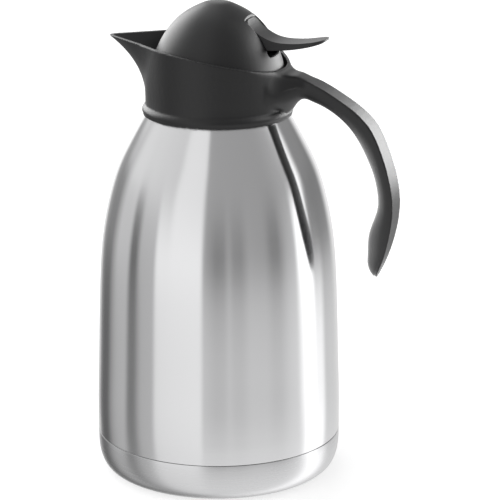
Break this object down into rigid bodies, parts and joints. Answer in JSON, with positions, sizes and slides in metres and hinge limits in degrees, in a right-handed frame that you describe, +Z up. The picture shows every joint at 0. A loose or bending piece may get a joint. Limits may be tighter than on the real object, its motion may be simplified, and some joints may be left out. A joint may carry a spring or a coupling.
{
  "type": "vacuum carafe",
  "caption": "Double-walled steel vacuum carafe with a spouted black collar, open-ended handle and a domed stopper opened by a sprung thumb lever.",
  "frame": {"origin": "centre of the flat underside of the foot pad, where the carafe stands", "axes": "+Z up along the vessel's axis, +X towards the handle, -X towards the spout"},
  "size_m": [0.1857, 0.1482, 0.29],
  "materials": {
    "satin_steel": "satin brushed",
    "base_steel": "satin brushed",
    "liner_steel": "drawn, electropolished",
    "black_pp": "fine satin grain",
    "natural_pp": "moulded",
    "silicone": "moulded",
    "foot_rubber": "moulded",
    "bright_steel": "turned and drawn wire"
  },
  "bodies": {
    "vessel": {"outer_shell": "satin_steel", "shell_neck": "liner_steel", "inner_liner": "liner_steel", "liner_shoulder": "liner_steel", "liner_bottom": "liner_steel", "vacuum_base": "liner_steel", "getter": "bright_steel", "base_cup": "base_steel", "foot_pad": "foot_rubber", "collar": "black_pp", "mouth_seal": "silicone", "neck_ring": "natural_pp"},
    "stopper": {"stopper_housing": "natural_pp", "valve_seat": "natural_pp", "neck_seal": "silicone", "dome_cover": "black_pp", "dome_screws": "bright_steel", "lever_pin": "bright_steel", "valve_spring": "bright_steel"},
    "lever": {"thumb_lever": "black_pp"},
    "valve": {"valve_disc": "natural_pp", "valve_seal": "silicone", "valve_stem": "bright_steel", "stem_washer": "bright_steel", "stem_nut": "bright_steel"}
  },
  "joints": [
    {"name": "stopper_lift", "type": "slide", "parent": "vessel", "child": "stopper", "axis": [0, 0, 1], "range_m": [0, 0.09]},
    {"name": "lever_press", "type": "hinge", "parent": "stopper", "child": "lever", "pos_m": [0.022, 0, 0.2675], "axis": [0, 1, 0], "range_deg": [0, 14], "stiffness_Nm_per_rad": 0.6, "springref_deg": -11.46},
    {"name": "valve_lift", "type": "slide", "parent": "stopper", "child": "valve", "axis": [0, 0, 1], "range_m": [0, 0.0055], "deforming": ["valve_spring"]}
  ],
  "couplings": [
    {"joint": "valve_lift", "follows": "lever_press", "m_per_rad": 0.022}
  ]
}
